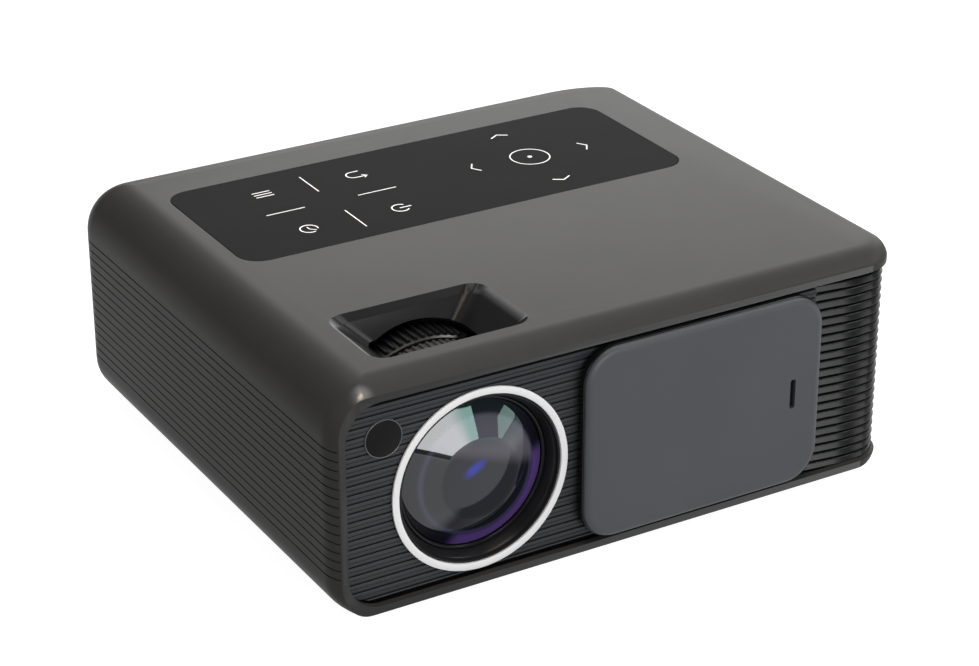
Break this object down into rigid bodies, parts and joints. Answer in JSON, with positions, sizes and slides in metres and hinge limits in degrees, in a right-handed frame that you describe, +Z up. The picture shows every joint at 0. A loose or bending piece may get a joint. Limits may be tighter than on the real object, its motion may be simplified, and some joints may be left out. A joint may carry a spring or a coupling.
{
  "type": "video projector",
  "caption": "Low box projector with soft roundings, ribbed front, large lens, sliding lens cap, focus and keystone rings in a top well, touch panel and fin grille.",
  "frame": {"origin": "bottom centre of the whole object, at the soles of the feet", "axes": "+Z up, -Y the way the lens looks, +X to the right as seen from the front"},
  "size_m": [0.222, 0.208, 0.0862],
  "materials": {
    "shell_plastic": "satin dark grey, moulded",
    "panel_plastic": "fine matt, near black",
    "fin_plastic": "gloss black",
    "cap_plastic": "satin blue grey",
    "trim_ring": "light satin",
    "black_plastic": "matt black",
    "touch_glass": "satin dark glass",
    "glass": "coated, clear",
    "mirror": "front surface mirror",
    "board": "green solder mask",
    "aluminium": "extruded, bare",
    "steel": "plated",
    "brass": "turned",
    "rubber": "soft black"
  },
  "bodies": {
    "housing": {"top_shell": "shell_plastic", "base_plate": "black_plastic", "front_panel": "panel_plastic", "lens_trim_ring": "trim_ring", "ir_window": "fin_plastic", "ir_receiver": "black_plastic", "lens_barrel": "black_plastic", "focus_well": "fin_plastic", "touch_panel": "touch_glass", "touch_board": "board", "side_grille": "fin_plastic", "rear_panel": "panel_plastic", "optical_engine": "black_plastic", "engine_lid": "black_plastic", "projection_mirror": "mirror", "near_field_lens": "glass", "far_field_lens": "glass", "heat_glass": "glass", "condenser_lens": "glass", "led_board": "aluminium", "heat_sink": "aluminium", "exhaust_fan_frame": "black_plastic", "intake_fan_frame": "black_plastic", "loudspeaker": "black_plastic", "main_board": "board", "power_board": "board", "hdmi_a": "steel", "hdmi_b": "steel", "usb_a": "steel", "usb_b": "steel", "av_jack": "black_plastic", "audio_jack": "black_plastic", "power_inlet": "black_plastic", "rubber_foot_rear_left": "rubber", "rubber_foot_rear_right": "rubber", "rubber_foot_front_left": "rubber", "rubber_foot_front_right": "rubber", "foot_insert": "brass"},
    "cap": {"lens_cap": "cap_plastic"},
    "focus": {"focus_ring": "black_plastic"},
    "lens": {"lens_cell": "black_plastic", "front_lens": "glass", "rear_lens": "glass"},
    "keystone": {"keystone_ring": "black_plastic"},
    "panel_carrier": {"lcd_carrier": "black_plastic", "lcd_panel": "glass"},
    "exhaust_rotor": {"exhaust_fan_rotor": "panel_plastic"},
    "intake_rotor": {"intake_fan_rotor": "panel_plastic"},
    "foot_pad": {"foot_pad": "rubber"},
    "foot_screw": {"foot_screw": "steel"}
  },
  "joints": [
    {"name": "cap_slide", "type": "slide", "parent": "housing", "child": "cap", "axis": [-1, 0, 0], "range_m": [0, 0.0842]},
    {"name": "focus_turn", "type": "hinge", "parent": "housing", "child": "focus", "pos_m": [-0.0562, -0.0677, 0.0412], "axis": [0, -1, 0], "range_deg": [0, 120]},
    {"name": "lens_slide", "type": "slide", "parent": "housing", "child": "lens", "axis": [0, 1, 0], "range_m": [0, 0.0064]},
    {"name": "keystone_turn", "type": "hinge", "parent": "housing", "child": "keystone", "pos_m": [-0.0562, -0.05635, 0.0412], "axis": [0, -1, 0], "range_deg": [-30, 30]},
    {"name": "panel_tilt", "type": "hinge", "parent": "housing", "child": "panel_carrier", "pos_m": [-0.00685, 0.01705, 0.0412], "axis": [0, 1, 0], "range_deg": [-8, 8]},
    {"name": "exhaust_spin", "type": "hinge", "parent": "housing", "child": "exhaust_rotor", "pos_m": [0.07015, 0.01705, 0.0359], "axis": [1, 0, 0], "continuous": true},
    {"name": "intake_spin", "type": "hinge", "parent": "housing", "child": "intake_rotor", "pos_m": [0.04575, -0.053, 0.0119], "axis": [0, 0, 1], "continuous": true},
    {"name": "foot_travel", "type": "slide", "parent": "housing", "child": "foot_pad", "axis": [0, 0, -1], "range_m": [0, 0.009]},
    {"name": "foot_turn", "type": "hinge", "parent": "foot_pad", "child": "foot_screw", "pos_m": [0, -0.073, 0], "axis": [0, 0, 1], "range_deg": [0, 3240]}
  ],
  "couplings": [
    {"joint": "focus_turn", "follows": "lens_slide", "rad_per_m": 327.24},
    {"joint": "panel_tilt", "follows": "keystone_turn", "ratio": 0.25},
    {"joint": "foot_turn", "follows": "foot_travel", "rad_per_m": 6283.1}
  ]
}
